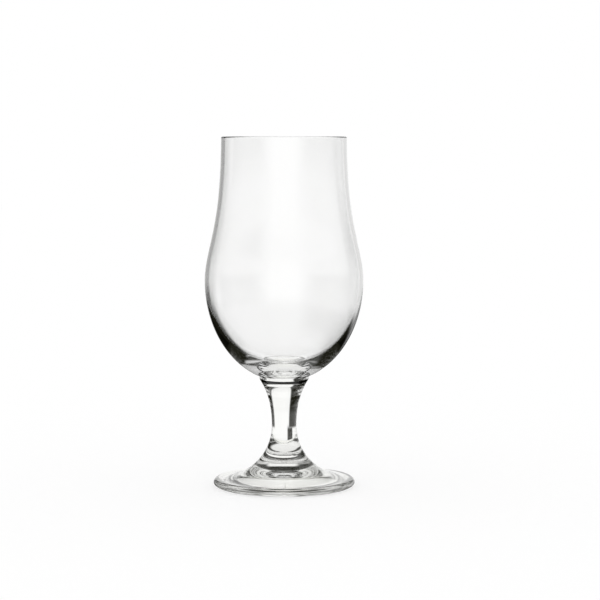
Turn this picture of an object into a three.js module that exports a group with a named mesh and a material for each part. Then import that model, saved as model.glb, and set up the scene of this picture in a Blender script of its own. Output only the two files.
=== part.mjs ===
// Footed beer glass: a blown bowl, a pressed stem and a pressed foot, fused together while hot.
// Millimetres, +Z up. The origin lies on the table under the middle of the foot.
// An ease is how far a curve is pulled straight on from one of its ends.
import * as THREE from "three";

// Foot: a dished disc on a narrow standing ring, which sweeps up over a domed hollow to the stem
const footDiameter = 71.2;
const footEdgeThickness = 4.2;
const footTopRound = 2.3;
const footUnderRound = 4.2;
const standRingWidth = 4;
const hollowDepth = 7.4;
const hollowCrown = 2.6;
const sweepDiameter = 45.8;
const sweepEase = 4.7;

// Stem: a solid spool that flares down to the foot and up to the bowl
const stemWaistDiameter = 12.4;
const stemWaistHeight = 20.7;
const stemFlareRadius = 26.2;
const stemHeadDiameter = 24.8;
const stemHeadHeight = 45.5;
const stemHeadEdge = 1.3;
const stemHeadFlare = THREE.MathUtils.degToRad(34.5);

// Bowl: a tulip shell, thin at the rim and heavy at the bottom
const rimDiameter = 62.9;
const bellyDiameter = 79.6;
const bowlHeight = 122.6;
const bellyHeight = 50.6;
const rimWall = 1.5;
const bellyWall = 1.6;
const bowlBottom = 6.2;
const neckEase = 45.5;
const bellyEase = 16;
const insideSideEase = 25;
const insideBottomEase = 22;

// Hairline at the two fused seams, which keeps the pieces apart
const seamGap = 0.1;

// The most that a flat facet strays from the curve it follows
const facetSag = 0.06;

const footRadius = footDiameter / 2;
const sweepRadius = sweepDiameter / 2;
const stemWaistRadius = stemWaistDiameter / 2;
const stemHeadRadius = stemHeadDiameter / 2;
const rimRadius = rimDiameter / 2;
const bellyRadius = bellyDiameter / 2;

// The stem stands on this seat above the foot's hollow, and one round flare runs through both
const seatHeight = hollowDepth + hollowCrown;
const flareReach = stemWaistRadius + stemFlareRadius;
const flareSeatAngle = Math.asin(stemWaistHeight / stemFlareRadius) - Math.PI;
const flareSweepAngle = -Math.acos((sweepRadius - flareReach) / stemFlareRadius);

// All pieces turn in the same number of steps, so that facets meet facets at the seams
const facetAngle = 2 * Math.acos(1 - facetSag / bellyRadius);
const stepsAround = 4 * Math.ceil(Math.PI / 2 / facetAngle);

// The bottom of the bowl is half an ellipsoid, and the stem's head cups it up to this angle
const bowlPole = -Math.PI / 2;
const cupAngle = -Math.acos(stemHeadRadius / bellyRadius);
const cupDepth = bellyHeight * (1 + Math.sin(cupAngle));

function point(radius, height) {
  return new THREE.Vector2(radius, height);
}

function arc(centre, radius, startAngle, endAngle) {
  return ovalArc(centre, radius, radius, startAngle, endAngle);
}

function ovalArc(centre, reach, rise, startAngle, endAngle) {
  const clockwise = endAngle < startAngle;
  return new THREE.EllipseCurve(centre.x, centre.y, reach, rise, startAngle, endAngle, clockwise);
}

function bowlUnderside(bottomHeight, startAngle, endAngle) {
  return ovalArc(point(0, bottomHeight + bellyHeight), bellyRadius, bellyHeight, startAngle, endAngle);
}

// The flare from the foot up to the stem's waist, for a stem whose base lies at this height
function flareArc(stemBase, startAngle, endAngle) {
  return arc(point(flareReach, stemBase + stemWaistHeight), stemFlareRadius, startAngle, endAngle);
}

// Splits a curve into even steps, enough of them for its length and for how far it turns
function sampled(curve) {
  const looks = 50;
  let turn = 0;
  for (let look = 0; look < looks; look += 1) {
    const before = curve.getTangent(look / looks);
    const after = curve.getTangent((look + 1) / looks);
    turn += before.angleTo(after);
  }
  const steps = Math.ceil(Math.sqrt((curve.getLength() * turn) / (8 * facetSag)));
  return curve.getPoints(steps);
}

// Joins points and sampled curves end to end, with each shared end kept once
function outline(...stretches) {
  const points = [];
  for (const stretch of stretches) {
    const next = stretch.isVector2 ? [stretch] : sampled(stretch);
    const last = points.at(-1);
    const joined = last && last.distanceTo(next[0]) < facetSag;
    points.push(...(joined ? next.slice(1) : next));
  }
  return points;
}

// Turns an outline about the vertical axis: it starts on the axis underneath and ends on it above
function turned(name, points, material) {
  const geometry = new THREE.LatheGeometry(points, stepsAround);
  geometry.rotateX(Math.PI / 2);
  const mesh = new THREE.Mesh(geometry, material);
  mesh.name = name;
  return mesh;
}

function clearGlass(color, roughness) {
  return new THREE.MeshStandardMaterial({ color, roughness, metalness: 0, transparent: true, opacity: 0.35 });
}

function footOutline() {
  const edgeMiddle = footEdgeThickness / 2;
  const standOuter = footRadius - footUnderRound;
  const standInner = standOuter - standRingWidth;
  const topStart = footRadius - footTopRound;

  const hollowRadius = (standInner ** 2 + hollowDepth ** 2) / (2 * hollowDepth);
  const hollowEdge = Math.acos(standInner / hollowRadius);
  const hollowCentre = point(0, hollowDepth - hollowRadius);

  const flare = flareArc(seatHeight, flareSweepAngle, flareSeatAngle);
  const sweepStart = flare.getPoint(0);
  const sweepCourse = flare.getTangent(0);

  return outline(
    arc(hollowCentre, hollowRadius, Math.PI / 2, hollowEdge),
    ovalArc(point(standOuter, edgeMiddle), footUnderRound, edgeMiddle, -Math.PI / 2, 0),
    ovalArc(point(topStart, edgeMiddle), footTopRound, edgeMiddle, 0, Math.PI / 2),
    new THREE.CubicBezierCurve(
      point(topStart, footEdgeThickness),
      point(topStart - sweepEase, footEdgeThickness),
      sweepStart.clone().addScaledVector(sweepCourse, -sweepEase),
      sweepStart,
    ),
    flare,
    point(0, seatHeight),
  );
}

function stemOutline() {
  const headUnderEdge = stemHeadHeight - stemHeadEdge;
  const headRise = (stemHeadRadius - stemWaistRadius) / Math.tan(stemHeadFlare);

  return outline(
    point(0, 0),
    flareArc(0, flareSeatAngle, -Math.PI),
    new THREE.QuadraticBezierCurve(
      point(stemWaistRadius, stemWaistHeight),
      point(stemWaistRadius, headUnderEdge - headRise),
      point(stemHeadRadius, headUnderEdge),
    ),
    bowlUnderside(stemHeadHeight - cupDepth, cupAngle, bowlPole),
  );
}

function bowlOutline() {
  const rimCurl = rimWall / 2;
  const rimStart = bowlHeight - rimCurl;
  const insideRim = rimRadius - rimWall;
  const insideBelly = bellyRadius - bellyWall;
  const rimCentre = point(rimRadius - rimCurl, rimStart);

  return outline(
    bowlUnderside(0, bowlPole, cupAngle),
    bowlUnderside(0, cupAngle, 0),
    new THREE.CubicBezierCurve(
      point(bellyRadius, bellyHeight),
      point(bellyRadius, bellyHeight + bellyEase),
      point(rimRadius, rimStart - neckEase),
      point(rimRadius, rimStart),
    ),
    arc(rimCentre, rimCurl, 0, Math.PI / 2),
    arc(rimCentre, rimCurl, Math.PI / 2, Math.PI),
    new THREE.CubicBezierCurve(
      point(insideRim, rimStart),
      point(insideRim, rimStart - neckEase),
      point(insideBelly, bellyHeight + bellyEase),
      point(insideBelly, bellyHeight),
    ),
    new THREE.CubicBezierCurve(
      point(insideBelly, bellyHeight),
      point(insideBelly, bellyHeight - insideSideEase),
      point(insideBottomEase, bowlBottom),
      point(0, bowlBottom),
    ),
  );
}

const foot = turned("foot", footOutline(), clearGlass(0xe6e9e4, 0.06));
const stem = turned("stem", stemOutline(), clearGlass(0xeceeea, 0.05));
const bowl = turned("bowl", bowlOutline(), clearGlass(0xf2f4f1, 0.03));
bowl.position.z = stemHeadHeight - cupDepth + seamGap;

const stemAndBowl = new THREE.Group();
stemAndBowl.position.z = seatHeight + seamGap;
stemAndBowl.add(stem, bowl);

const glass = new THREE.Group();
glass.name = "footed_beer_glass";
glass.add(foot, stemAndBowl);

export default glass;
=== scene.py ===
"""Footed beer glass: a blown bowl, a pressed stem and a pressed foot in clear glass, on a white floor."""

import math

import bpy
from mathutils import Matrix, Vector


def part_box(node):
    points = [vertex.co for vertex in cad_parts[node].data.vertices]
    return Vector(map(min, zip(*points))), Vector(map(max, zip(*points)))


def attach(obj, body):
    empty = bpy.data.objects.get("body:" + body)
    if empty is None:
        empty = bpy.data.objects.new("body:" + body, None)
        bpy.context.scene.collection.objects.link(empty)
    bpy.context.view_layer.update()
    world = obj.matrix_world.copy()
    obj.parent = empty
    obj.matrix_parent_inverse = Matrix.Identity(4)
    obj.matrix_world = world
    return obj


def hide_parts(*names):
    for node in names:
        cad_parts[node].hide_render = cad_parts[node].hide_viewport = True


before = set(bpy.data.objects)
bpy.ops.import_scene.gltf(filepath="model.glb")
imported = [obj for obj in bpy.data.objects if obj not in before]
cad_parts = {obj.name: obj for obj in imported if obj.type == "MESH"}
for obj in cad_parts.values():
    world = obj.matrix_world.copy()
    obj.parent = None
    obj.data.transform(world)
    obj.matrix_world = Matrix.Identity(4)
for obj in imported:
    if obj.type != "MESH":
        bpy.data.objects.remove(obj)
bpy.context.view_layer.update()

# Sizes that the frame gives, in metres
bowl_low, bowl_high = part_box("bowl")
stem_low, stem_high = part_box("stem")
foot_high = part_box("foot")[1]
BELLY_RADIUS = bowl_high.x
BOWL_BOTTOM = bowl_low.z
RIM_TOP = bowl_high.z
STEM_BASE = stem_low.z
STEM_HEAD_TOP = stem_high.z
FOOT_RADIUS = foot_high.x
FOOT_SEAT = foot_high.z

# Bowl. An ease is how far a curve is pulled straight on from one of its ends.
RIM_RADIUS = 0.03145
RIM_WALL = 0.0015
BELLY_WALL = 0.0016
BELLY_RISE = 0.0506
BOTTOM_THICKNESS = 0.0062
NECK_EASE = 0.0455
BELLY_EASE = 0.016
INSIDE_SIDE_EASE = 0.025
INSIDE_BOTTOM_EASE = 0.022

# Stem
WAIST_RADIUS = 0.0062
WAIST_RISE = 0.0207
FLARE_RADIUS = 0.0262
HEAD_RADIUS = 0.0124
HEAD_EDGE = 0.0013
HEAD_FLARE = math.radians(34.5)
HEAD_ROUND = 0.0006

# Foot
FOOT_EDGE = 0.0042
FOOT_TOP_ROUND = 0.0023
FOOT_UNDER_ROUND = 0.0042
STAND_RING = 0.004
HOLLOW_DEPTH = 0.0074
SWEEP_RADIUS = 0.0229
SWEEP_EASE = 0.0047

# Hairline that keeps the fused pieces apart
SEAM_GAP = 0.0001

# Ridge that the two halves of the mould left across the foot
MOULD_RIDGE = 0.00025

# Angles on the outlines: the bowl's lowest point, the edge of the stem's cup, and where the flare meets the
# stem's seat and the foot's sweep
BOWL_POLE = -math.pi / 2
CUP_EDGE = -math.acos(HEAD_RADIUS / BELLY_RADIUS)
FLARE_SEAT = math.asin(WAIST_RISE / FLARE_RADIUS) - math.pi
FLARE_SWEEP = -math.acos((SWEEP_RADIUS - WAIST_RADIUS - FLARE_RADIUS) / FLARE_RADIUS)

# Fineness of the turned surfaces
STEPS_AROUND = 360
CUP_STEPS = 12
BELLY_STEPS = 56
NECK_STEPS = 56
RIM_STEPS = 16
INSIDE_STEPS = 64
FLARE_STEPS = 40
HEAD_STEPS = 40
HEAD_ROUND_STEPS = 8
HOLLOW_STEPS = 40
EDGE_STEPS = 14
SWEEP_STEPS = 24

# Steps at the end of the head's flare that its rounding takes over
HEAD_ROUND_REACH = 2

# Plane that is merged into the first corner of an outline
STARTING_PLANE = 0.001

# Closeness at which two points of an outline, or two corners of a mesh, count as one
SAME_POINT = 1e-7
SAME_CORNER = 1e-6

# Edges that bend less than this are shaded smooth
SMOOTH_BEND = math.radians(20)

# Upward share of a normal from which a face counts as facing up, and below its negative as facing down
FACING = 0.5

# Glass. A tint drifts between two colours, and a ripple has its size and its depth.
WHITE = (1, 1, 1, 1)
REFRACTION = 1.52
BOWL_TINTS = (WHITE, (0.996, 0.997, 0.993, 1))
STEM_TINTS = ((0.995, 0.995, 0.98, 1), (0.975, 0.978, 0.95, 1))
FOOT_TINTS = ((0.99, 0.99, 0.97, 1), (0.965, 0.97, 0.935, 1))
BOWL_RIPPLE = (0.025, 0.00002)
STEM_RIPPLE = (0.008, 0.00002)
FOOT_RIPPLE = (0.006, 0.00003)
RIPPLE_DETAIL = 1

# Tint drifts, wiped marks and scuffs: the size and detail of their noise, the stretch of it that counts, and
# the roughness of the last two
DRIFT_NOISE = (0.02, 2)
DRIFT_STRETCH = (0.3, 0.7)
WIPE_NOISE = (0.012, 5)
WIPE_STRETCH = (0.6, 0.8)
WIPE_ROUGHNESS = (0, 0.02)
SCUFF_NOISE = (0.0006, 4)
SCUFF_STRETCH = (0.45, 0.6)
SCUFF_ROUGHNESS = (0.04, 0.2)
SCUFF_HEIGHT = 0.0004

# Camera, level with the rim
CAMERA_DISTANCE = 1.0
CAMERA_LENS = 120.0
CAMERA_SENSOR = 36.0
CAMERA_PITCH = math.radians(4.674)
CAMERA_YAW = math.radians(0.458)

# Floor
FLOOR_RADIUS = 4.0
FLOOR_SIDES = 96
FLOOR_GAP = 0.0001
FLOOR_GLOW = 0.6

# The studio as the glass shows it. Black cards stand in what is seen through the glass, and white panels in
# what it mirrors. Each has its start and end round the glass (0 behind it, 90 to its right), its lower and
# upper edge above the horizon, the softness of these two pairs of edges, all in degrees, and its strength.
# Those on both sides count their angles to the left too. An angle past 180, or a height past 90, is no edge.
BLACK_CARDS = [
    (-77, -16.3, -12, 70, 2.5, 3, 1),
    (-32, -11, -40, -10, 2.5, 4, 1),
    (40, 77, -12, 70, 4, 3, 1),
]
BLACK_CARDS_BOTH_SIDES = [
    (104, 160, -5, 70, 4, 3, 1),
]
WHITE_PANELS = [
    (17, 62, -18, 8, 4, 4, 0.72),
    (-14, 18, -8, 24, 4, 4, 0.95),
    (-50, -6, -6, 6, 6, 3, 0.3),
    (-400, -64, -60, -18, 6, 4, 0.9),
    (-400, 400, -100, -50, 5, 6, 0.85),
]
WHITE_PANELS_BOTH_SIDES = [
    (145, 400, -70, 22, 20, 8, 1),
    (58, 400, -24, -5, 6, 5, 0.7),
    (-12, 12, -60, -32, 3, 5, 0.8),
]

# One more panel on both sides, which only the outside of the glass mirrors
SKIN_PANEL = (60, 400, -8, 60, 12, 6, 1)

# What is left of the light on a card, with the faint olive of thick glass
CARD_COLOUR = (0.014, 0.014, 0.009, 1)

# Light that is turned round inside the glass this often, at least and at most, is evened out to this strength
INNER_TURNS = (3, 5)
INNER_FILL = 0.8

# Bounces that light may make before it is lost in the glass
MOST_BOUNCES = 32
MOST_MIRRORED = 16


def oval_arc(centre, reach, rise, start, end, steps):
    """Points of an ellipse's arc about centre, from one angle to another."""
    points = []
    for step in range(steps + 1):
        angle = start + (end - start) * step / steps
        points.append((centre[0] + reach * math.cos(angle), centre[1] + rise * math.sin(angle)))
    return points


def bezier(corners, steps, close_at_ends=False):
    """Points of the Bezier curve that these corners pull, evenly or closer together at its ends."""
    points = []
    for step in range(steps + 1):
        along = step / steps
        if close_at_ends:
            along = along * along * (3 - 2 * along)
        level = [Vector(corner) for corner in corners]
        while len(level) > 1:
            level = [a.lerp(b, along) for a, b in zip(level, level[1:])]
        points.append(tuple(level[0]))
    return points


def joined(*stretches):
    """Runs stretches of points together, with each shared end kept once."""
    points = []
    for stretch in stretches:
        for point in stretch:
            if not points or math.dist(point, points[-1]) > SAME_POINT:
                points.append(point)
    return points


def bowl_outline():
    """Up the outside of the bowl from its lowest point, over the rim and down the inside."""
    belly = BOWL_BOTTOM + BELLY_RISE
    curl = RIM_WALL / 2
    rim_start = RIM_TOP - curl
    inner_rim = RIM_RADIUS - RIM_WALL
    inner_belly = BELLY_RADIUS - BELLY_WALL
    inner_bottom = BOWL_BOTTOM + BOTTOM_THICKNESS
    outer_neck = [
        (BELLY_RADIUS, belly),
        (BELLY_RADIUS, belly + BELLY_EASE),
        (RIM_RADIUS, rim_start - NECK_EASE),
        (RIM_RADIUS, rim_start),
    ]
    inner_neck = [
        (inner_rim, rim_start),
        (inner_rim, rim_start - NECK_EASE),
        (inner_belly, belly + BELLY_EASE),
        (inner_belly, belly),
    ]
    inside = [
        (inner_belly, belly),
        (inner_belly, belly - INSIDE_SIDE_EASE),
        (INSIDE_BOTTOM_EASE, inner_bottom),
        (0, inner_bottom),
    ]
    return joined(
        oval_arc((0, belly), BELLY_RADIUS, BELLY_RISE, BOWL_POLE, CUP_EDGE, CUP_STEPS),
        oval_arc((0, belly), BELLY_RADIUS, BELLY_RISE, CUP_EDGE, 0, BELLY_STEPS),
        bezier(outer_neck, NECK_STEPS, close_at_ends=True),
        oval_arc((RIM_RADIUS - curl, rim_start), curl, curl, 0, math.pi, RIM_STEPS),
        bezier(inner_neck, NECK_STEPS, close_at_ends=True),
        bezier(inside, INSIDE_STEPS),
    )


def flare_arc(stem_base, start, end):
    """The round flare from the foot up to the stem's waist, for a stem based at this height."""
    centre = (WAIST_RADIUS + FLARE_RADIUS, stem_base + WAIST_RISE)
    return oval_arc(centre, FLARE_RADIUS, FLARE_RADIUS, start, end, FLARE_STEPS)


def stem_outline():
    """Up the outside of the stem from the middle of its base, and down into the cup of its head."""
    waist = STEM_BASE + WAIST_RISE
    head_under = STEM_HEAD_TOP - HEAD_EDGE
    head_rise = (HEAD_RADIUS - WAIST_RADIUS) / math.tan(HEAD_FLARE)
    cup_centre = BOWL_BOTTOM - SEAM_GAP + BELLY_RISE
    corner = (HEAD_RADIUS, head_under)
    head_flare = bezier([(WAIST_RADIUS, waist), (WAIST_RADIUS, head_under - head_rise), corner], HEAD_STEPS)
    head_flare = head_flare[:-HEAD_ROUND_REACH]
    return joined(
        [(0, STEM_BASE)],
        flare_arc(STEM_BASE, FLARE_SEAT, -math.pi),
        head_flare,
        bezier([head_flare[-1], corner, (HEAD_RADIUS, head_under + HEAD_ROUND)], HEAD_ROUND_STEPS),
        oval_arc((0, cup_centre), BELLY_RADIUS, BELLY_RISE, CUP_EDGE, BOWL_POLE, CUP_STEPS),
    )


def foot_outline():
    """From the top of the hollow down to the standing ring, round the edge and up to the stem's seat."""
    middle = FOOT_EDGE / 2
    stand_outer = FOOT_RADIUS - FOOT_UNDER_ROUND
    stand_inner = stand_outer - STAND_RING
    top_start = FOOT_RADIUS - FOOT_TOP_ROUND
    hollow = (stand_inner ** 2 + HOLLOW_DEPTH ** 2) / (2 * HOLLOW_DEPTH)
    hollow_edge = math.acos(stand_inner / hollow)
    flare = flare_arc(FOOT_SEAT, FLARE_SWEEP, FLARE_SEAT)
    course = (SWEEP_EASE * math.sin(FLARE_SWEEP), -SWEEP_EASE * math.cos(FLARE_SWEEP))
    sweep = [
        (top_start, FOOT_EDGE),
        (top_start - SWEEP_EASE, FOOT_EDGE),
        (flare[0][0] - course[0], flare[0][1] - course[1]),
        flare[0],
    ]
    return joined(
        oval_arc((0, HOLLOW_DEPTH - hollow), hollow, hollow, math.pi / 2, hollow_edge, HOLLOW_STEPS),
        oval_arc((stand_outer, middle), FOOT_UNDER_ROUND, middle, -math.pi / 2, 0, EDGE_STEPS),
        oval_arc((top_start, middle), FOOT_TOP_ROUND, middle, 0, math.pi / 2, EDGE_STEPS),
        bezier(sweep, SWEEP_STEPS),
        flare,
        [(0, FOOT_SEAT)],
    )


def turned(name, outline):
    """Draws an outline by extruding one corner from point to point, and spins it about the glass's axis."""
    bpy.ops.object.select_all(action="DESELECT")
    bpy.ops.mesh.primitive_plane_add(size=STARTING_PLANE, location=(0, 0, 0))
    piece = bpy.context.object
    piece.name = name
    bpy.ops.object.mode_set(mode="EDIT")
    bpy.ops.mesh.select_all(action="SELECT")
    bpy.ops.mesh.merge(type="CENTER")
    bpy.ops.transform.translate(value=(outline[0][0], 0, outline[0][1]))
    for (r0, z0), (r1, z1) in zip(outline, outline[1:]):
        bpy.ops.mesh.extrude_region_move(TRANSFORM_OT_translate={"value": (r1 - r0, 0, z1 - z0)})
    bpy.ops.mesh.select_all(action="SELECT")
    bpy.ops.mesh.spin(steps=STEPS_AROUND, angle=2 * math.pi, center=(0, 0, 0), axis=(0, 0, 1))
    bpy.ops.mesh.select_all(action="SELECT")
    bpy.ops.mesh.remove_doubles(threshold=SAME_CORNER)
    bpy.ops.mesh.normals_make_consistent(inside=False)
    bpy.ops.object.mode_set(mode="OBJECT")
    bpy.ops.object.shade_smooth_by_angle(angle=SMOOTH_BEND)
    return piece


def math_node(nodes, links, operation, *values):
    """A Math node that takes sockets or plain numbers."""
    node = nodes.new("ShaderNodeMath")
    node.operation = operation
    for socket, value in zip(node.inputs, values):
        if isinstance(value, bpy.types.NodeSocket):
            links.new(value, socket)
        else:
            socket.default_value = value
    return node.outputs["Value"]


def noise(nodes, links, place, size, detail):
    """Cloudy noise whose features are about this many metres across."""
    node = nodes.new("ShaderNodeTexNoise")
    node.inputs["Scale"].default_value = 1 / size
    node.inputs["Detail"].default_value = detail
    links.new(place, node.inputs["Vector"])
    return node.outputs["Fac"]


def scaled(nodes, links, value, stretch, result):
    """Carries a stretch of a value's range over to the range of the result, and no further."""
    node = nodes.new("ShaderNodeMapRange")
    links.new(value, node.inputs["Value"])
    node.inputs["From Min"].default_value = stretch[0]
    node.inputs["From Max"].default_value = stretch[1]
    node.inputs["To Min"].default_value = result[0]
    node.inputs["To Max"].default_value = result[1]
    return node.outputs["Result"]


def clear_glass(name, tints, ripple, scuffed_below=0):
    """Clear glass with drifts of two faint tints, wiped marks, a rippled skin, and scuffs below a height."""
    material = bpy.data.materials.new(name)
    material.use_nodes = True
    nodes, links = material.node_tree.nodes, material.node_tree.links
    shader = nodes["Principled BSDF"]
    shader.inputs["IOR"].default_value = REFRACTION
    shader.inputs["Transmission Weight"].default_value = 1.0
    place = nodes.new("ShaderNodeTexCoord").outputs["Object"]

    drift = nodes.new("ShaderNodeValToRGB")
    for stop, position, tint in zip(drift.color_ramp.elements, DRIFT_STRETCH, tints):
        stop.position = position
        stop.color = tint
    links.new(noise(nodes, links, place, *DRIFT_NOISE), drift.inputs["Fac"])
    links.new(drift.outputs["Color"], shader.inputs["Base Color"])

    axes = nodes.new("ShaderNodeSeparateXYZ")
    links.new(place, axes.inputs["Vector"])
    smears = noise(nodes, links, place, *WIPE_NOISE)
    marks = scaled(nodes, links, smears, WIPE_STRETCH, WIPE_ROUGHNESS)
    low = scaled(nodes, links, axes.outputs["Z"], (scuffed_below / 2, scuffed_below), (1, 0))
    scratches = noise(nodes, links, place, *SCUFF_NOISE)
    grit = scaled(nodes, links, scratches, SCUFF_STRETCH, SCUFF_ROUGHNESS)
    scuffs = math_node(nodes, links, "MULTIPLY", low, grit)
    links.new(math_node(nodes, links, "MAXIMUM", marks, scuffs), shader.inputs["Roughness"])

    ripple_size, ripple_depth = ripple
    bump = nodes.new("ShaderNodeBump")
    bump.inputs["Strength"].default_value = 1
    bump.inputs["Distance"].default_value = ripple_depth
    links.new(noise(nodes, links, place, ripple_size, RIPPLE_DETAIL), bump.inputs["Height"])
    links.new(bump.outputs["Normal"], shader.inputs["Normal"])
    return material


def fused_seam():
    """The face where two pieces melted together: light passes it unbent."""
    material = bpy.data.materials.new("fused_seam")
    material.use_nodes = True
    nodes = material.node_tree.nodes
    nodes.remove(nodes["Principled BSDF"])
    clear = nodes.new("ShaderNodeBsdfTransparent")
    material.node_tree.links.new(clear.outputs["BSDF"], nodes["Material Output"].inputs["Surface"])
    return material


SEAM = fused_seam()


def dressed(piece, material, node, is_seam):
    """Puts the glass on a piece and the seam on its fused faces, and lets it stand for its CAD node."""
    piece.data.materials.append(material)
    piece.data.materials.append(SEAM)
    for face in piece.data.polygons:
        face.material_index = 1 if is_seam(face) else 0
    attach(piece, "root")
    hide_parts(node)


def make_bowl():
    piece = turned("blown_bowl", bowl_outline())

    def is_seam(face):
        return face.center.z < STEM_HEAD_TOP + SEAM_GAP and face.normal.z < 0

    glass = clear_glass("bowl_glass", BOWL_TINTS, BOWL_RIPPLE)
    dressed(piece, glass, "bowl", is_seam)


def make_stem():
    piece = turned("pressed_stem", stem_outline())
    waist = STEM_BASE + WAIST_RISE

    def is_seam(face):
        base = face.center.z < STEM_BASE + SAME_CORNER
        cup = face.center.z > waist and face.normal.z > FACING
        return base or cup

    glass = clear_glass("stem_glass", STEM_TINTS, STEM_RIPPLE)
    dressed(piece, glass, "stem", is_seam)


def raise_mould_seam(piece):
    """Lifts one row of corners, front and back, over the top and the edge of the foot."""
    below_seat = FOOT_SEAT - SEAM_GAP
    bpy.ops.object.mode_set(mode="EDIT")
    bpy.ops.mesh.select_mode(type="VERT")
    bpy.ops.mesh.select_all(action="DESELECT")
    bpy.ops.object.mode_set(mode="OBJECT")
    for corner in piece.data.vertices:
        in_row = abs(corner.co.x) < SAME_CORNER and abs(corner.co.y) > WAIST_RADIUS
        corner.select = in_row and corner.normal.z > -FACING and corner.co.z < below_seat
    bpy.ops.object.mode_set(mode="EDIT")
    bpy.ops.transform.shrink_fatten(value=MOULD_RIDGE)
    bpy.ops.mesh.select_all(action="DESELECT")
    bpy.ops.object.mode_set(mode="OBJECT")


def make_foot():
    piece = turned("pressed_foot", foot_outline())
    raise_mould_seam(piece)

    def is_seam(face):
        return face.center.z > FOOT_SEAT - SAME_CORNER

    glass = clear_glass("foot_glass", FOOT_TINTS, FOOT_RIPPLE, scuffed_below=SCUFF_HEIGHT)
    dressed(piece, glass, "foot", is_seam)


def make_camera():
    data = bpy.data.cameras.new("camera")
    data.sensor_width = CAMERA_SENSOR
    data.lens = CAMERA_LENS
    camera = bpy.data.objects.new("camera", data)
    camera.location = (0, -CAMERA_DISTANCE, RIM_TOP)
    camera.rotation_euler = (math.pi / 2 - CAMERA_PITCH, 0, -CAMERA_YAW)
    bpy.context.collection.objects.link(camera)
    bpy.context.scene.camera = camera


def soft_edge(nodes, links, angle, edge, softness):
    """Rises from 0 to 1 as an angle passes an edge, in degrees; a negative softness makes it fall."""
    node = nodes.new("ShaderNodeMapRange")
    node.interpolation_type = "SMOOTHSTEP"
    links.new(angle, node.inputs["Value"])
    node.inputs["From Min"].default_value = math.radians(edge - abs(softness))
    node.inputs["From Max"].default_value = math.radians(edge + abs(softness))
    if softness < 0:
        node.inputs["To Min"].default_value = 1
        node.inputs["To Max"].default_value = 0
    return node.outputs["Result"]


def soft_panel(nodes, links, turn, lift, panel):
    """One card or panel of the studio, as its strength in each direction."""
    start, end, low, high, turn_softness, lift_softness, strength = panel
    edges = [
        soft_edge(nodes, links, turn, start, turn_softness),
        soft_edge(nodes, links, turn, end, -turn_softness),
        soft_edge(nodes, links, lift, low, lift_softness),
        soft_edge(nodes, links, lift, high, -lift_softness),
    ]
    total = strength
    for edge in edges:
        total = math_node(nodes, links, "MULTIPLY", total, edge)
    return total


def strongest(nodes, links, turn, lift, panels, panels_both_sides):
    """The strongest of these cards or panels in each direction."""
    away = math_node(nodes, links, "ABSOLUTE", turn)
    values = [soft_panel(nodes, links, turn, lift, panel) for panel in panels]
    values += [soft_panel(nodes, links, away, lift, panel) for panel in panels_both_sides]
    total = values[0]
    for value in values[1:]:
        total = math_node(nodes, links, "MAXIMUM", total, value)
    return total


def at_least(nodes, links, depth, count):
    """1 where a ray's depth, a whole number, is this count or more."""
    return math_node(nodes, links, "GREATER_THAN", depth, count - 0.5)


def at_most(nodes, links, depth, count):
    """1 where a ray's depth, a whole number, is this count or less."""
    return math_node(nodes, links, "LESS_THAN", depth, count + 0.5)


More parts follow.
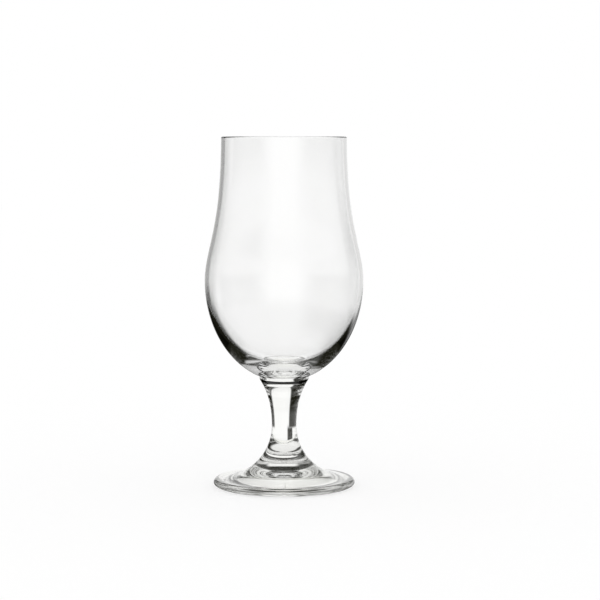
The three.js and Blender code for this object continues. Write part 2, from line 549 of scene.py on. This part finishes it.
def make_world():
    """A white studio that lights the scene. Only the glass shows its cards and panels."""
    world = bpy.data.worlds.new("studio")
    world.use_nodes = True
    world.cycles.sampling_method = "NONE"
    bpy.context.scene.world = world
    nodes, links = world.node_tree.nodes, world.node_tree.links
    path = nodes.new("ShaderNodeLightPath").outputs
    place = nodes.new("ShaderNodeTexCoord")
    axes = nodes.new("ShaderNodeSeparateXYZ")
    links.new(place.outputs["Generated"], axes.inputs["Vector"])
    turn = math_node(nodes, links, "ARCTAN2", axes.outputs["X"], axes.outputs["Y"])
    lift = math_node(nodes, links, "ARCSINE", axes.outputs["Z"])

    # Seen through the glass
    cards = strongest(nodes, links, turn, lift, BLACK_CARDS, BLACK_CARDS_BOTH_SIDES)
    seen_through = math_node(nodes, links, "SUBTRACT", 1, cards)

    # Mirrored in the glass
    panels = strongest(nodes, links, turn, lift, WHITE_PANELS, WHITE_PANELS_BOTH_SIDES)
    outside = at_most(nodes, links, path["Transmission Depth"], 0)
    sides = strongest(nodes, links, turn, lift, [], [SKIN_PANEL])
    skin = math_node(nodes, links, "MULTIPLY", sides, outside)
    mirrored = math_node(nodes, links, "MAXIMUM", panels, skin)

    # Turned round inside the glass
    enough = at_least(nodes, links, path["Glossy Depth"], INNER_TURNS[0])
    few = at_most(nodes, links, path["Glossy Depth"], INNER_TURNS[1])
    turned_round = math_node(nodes, links, "MULTIPLY", enough, few)
    inner = math_node(nodes, links, "MULTIPLY", turned_round, INNER_FILL)
    mirrored = math_node(nodes, links, "MAXIMUM", mirrored, inner)

    shown = nodes.new("ShaderNodeMix")
    links.new(math_node(nodes, links, "MINIMUM", path["Glossy Depth"], 1), shown.inputs["Factor"])
    links.new(seen_through, shown.inputs["A"])
    links.new(mirrored, shown.inputs["B"])

    # The camera and the floor see plain white
    glass = math_node(nodes, links, "MAXIMUM", path["Is Glossy Ray"], path["Is Transmission Ray"])
    in_view = at_most(nodes, links, path["Diffuse Depth"], 0)
    glass_in_view = math_node(nodes, links, "MULTIPLY", glass, in_view)
    plain = math_node(nodes, links, "SUBTRACT", 1, glass_in_view)
    white = math_node(nodes, links, "MAXIMUM", plain, shown.outputs["Result"])
    light = nodes.new("ShaderNodeMix")
    light.data_type = "RGBA"
    links.new(white, light.inputs["Factor"])
    light.inputs["A"].default_value = CARD_COLOUR
    light.inputs["B"].default_value = WHITE
    links.new(light.outputs["Result"], nodes["Background"].inputs["Color"])


def white_paper():
    """White paper, which the camera sees paler than it is lit, so that it fades into the white round it."""
    material = bpy.data.materials.new("white_paper")
    material.use_nodes = True
    nodes, links = material.node_tree.nodes, material.node_tree.links
    shader = nodes["Principled BSDF"]
    shader.inputs["Base Color"].default_value = WHITE
    shader.inputs["Roughness"].default_value = 1
    shader.inputs["Specular IOR Level"].default_value = 0
    glow = nodes.new("ShaderNodeEmission")
    glow.inputs["Color"].default_value = WHITE
    glow.inputs["Strength"].default_value = 1
    path = nodes.new("ShaderNodeLightPath").outputs
    share = math_node(nodes, links, "MULTIPLY", path["Is Camera Ray"], FLOOR_GLOW)
    paler = nodes.new("ShaderNodeMixShader")
    links.new(share, paler.inputs["Fac"])
    links.new(shader.outputs["BSDF"], paler.inputs[1])
    links.new(glow.outputs["Emission"], paler.inputs[2])
    links.new(paler.outputs["Shader"], nodes["Material Output"].inputs["Surface"])
    return material


def make_floor():
    """A white sheet under the glass. The glass shows the studio in its place."""
    bpy.ops.object.select_all(action="DESELECT")
    bpy.ops.mesh.primitive_circle_add(
        vertices=FLOOR_SIDES,
        radius=FLOOR_RADIUS,
        fill_type="NGON",
        location=(0, 0, 0),
    )
    floor = bpy.context.object
    floor.name = "floor"
    bpy.ops.object.mode_set(mode="EDIT")
    bpy.ops.mesh.select_all(action="SELECT")
    bpy.ops.transform.translate(value=(0, 0, -FLOOR_GAP))
    bpy.ops.object.mode_set(mode="OBJECT")
    floor.data.materials.append(white_paper())
    floor.visible_glossy = False
    floor.visible_transmission = False


make_camera()
make_world()
make_floor()
make_bowl()
make_stem()
make_foot()

scene = bpy.context.scene
scene.view_settings.view_transform = "Standard"
scene.cycles.max_bounces = MOST_BOUNCES
scene.cycles.glossy_bounces = MOST_MIRRORED
scene.cycles.transmission_bounces = MOST_BOUNCES
scene.cycles.transparent_max_bounces = MOST_BOUNCES
